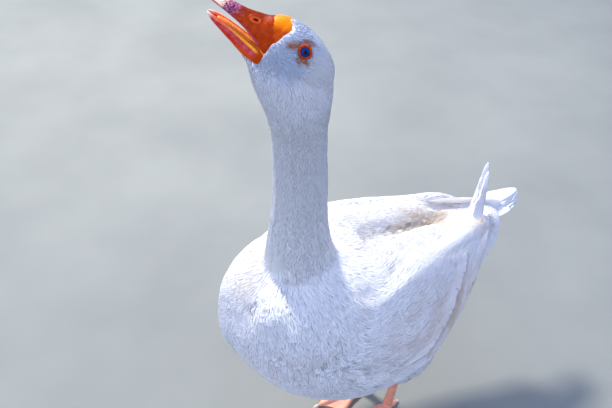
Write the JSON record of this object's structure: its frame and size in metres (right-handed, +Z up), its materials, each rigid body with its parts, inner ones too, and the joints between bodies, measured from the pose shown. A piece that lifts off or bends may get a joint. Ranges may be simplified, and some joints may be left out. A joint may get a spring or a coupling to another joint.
{
  "type": "domestic goose",
  "caption": "Life-size still model of a white domestic goose standing with its neck upright, head cocked to one side and bill a little open.",
  "frame": {"origin": "on the floor under the middle of the bird's box", "axes": "+Z up, -Y the way the body faces, +X the bird's left side"},
  "size_m": [0.3024, 0.607, 0.7963],
  "materials": {
    "feather": "soft white plumage",
    "bill": "satin orange horn",
    "mouth": "moist pink",
    "eye": "wet gloss",
    "leg": "scaly skin",
    "claw": "satin horn"
  },
  "bodies": {
    "root": {"head": "feather", "eye_left": "eye", "eye_right": "eye", "bill_upper": "bill", "bill_lower": "bill", "tongue": "mouth", "trunk": "feather", "neck_lower": "feather", "neck_middle": "feather", "neck_upper": "feather", "wing_left": "feather", "wing_right": "feather", "primaries_left": "feather", "primaries_right": "feather", "tail": "feather", "thigh_left": "feather", "shank_left": "leg", "foot_left": "leg", "claw_inner_left": "claw", "claw_middle_left": "claw", "claw_outer_left": "claw", "claw_hind_left": "claw", "thigh_right": "feather", "shank_right": "leg", "foot_right": "leg", "claw_inner_right": "claw", "claw_middle_right": "claw", "claw_outer_right": "claw", "claw_hind_right": "claw"}
  },
  "joints": []
}
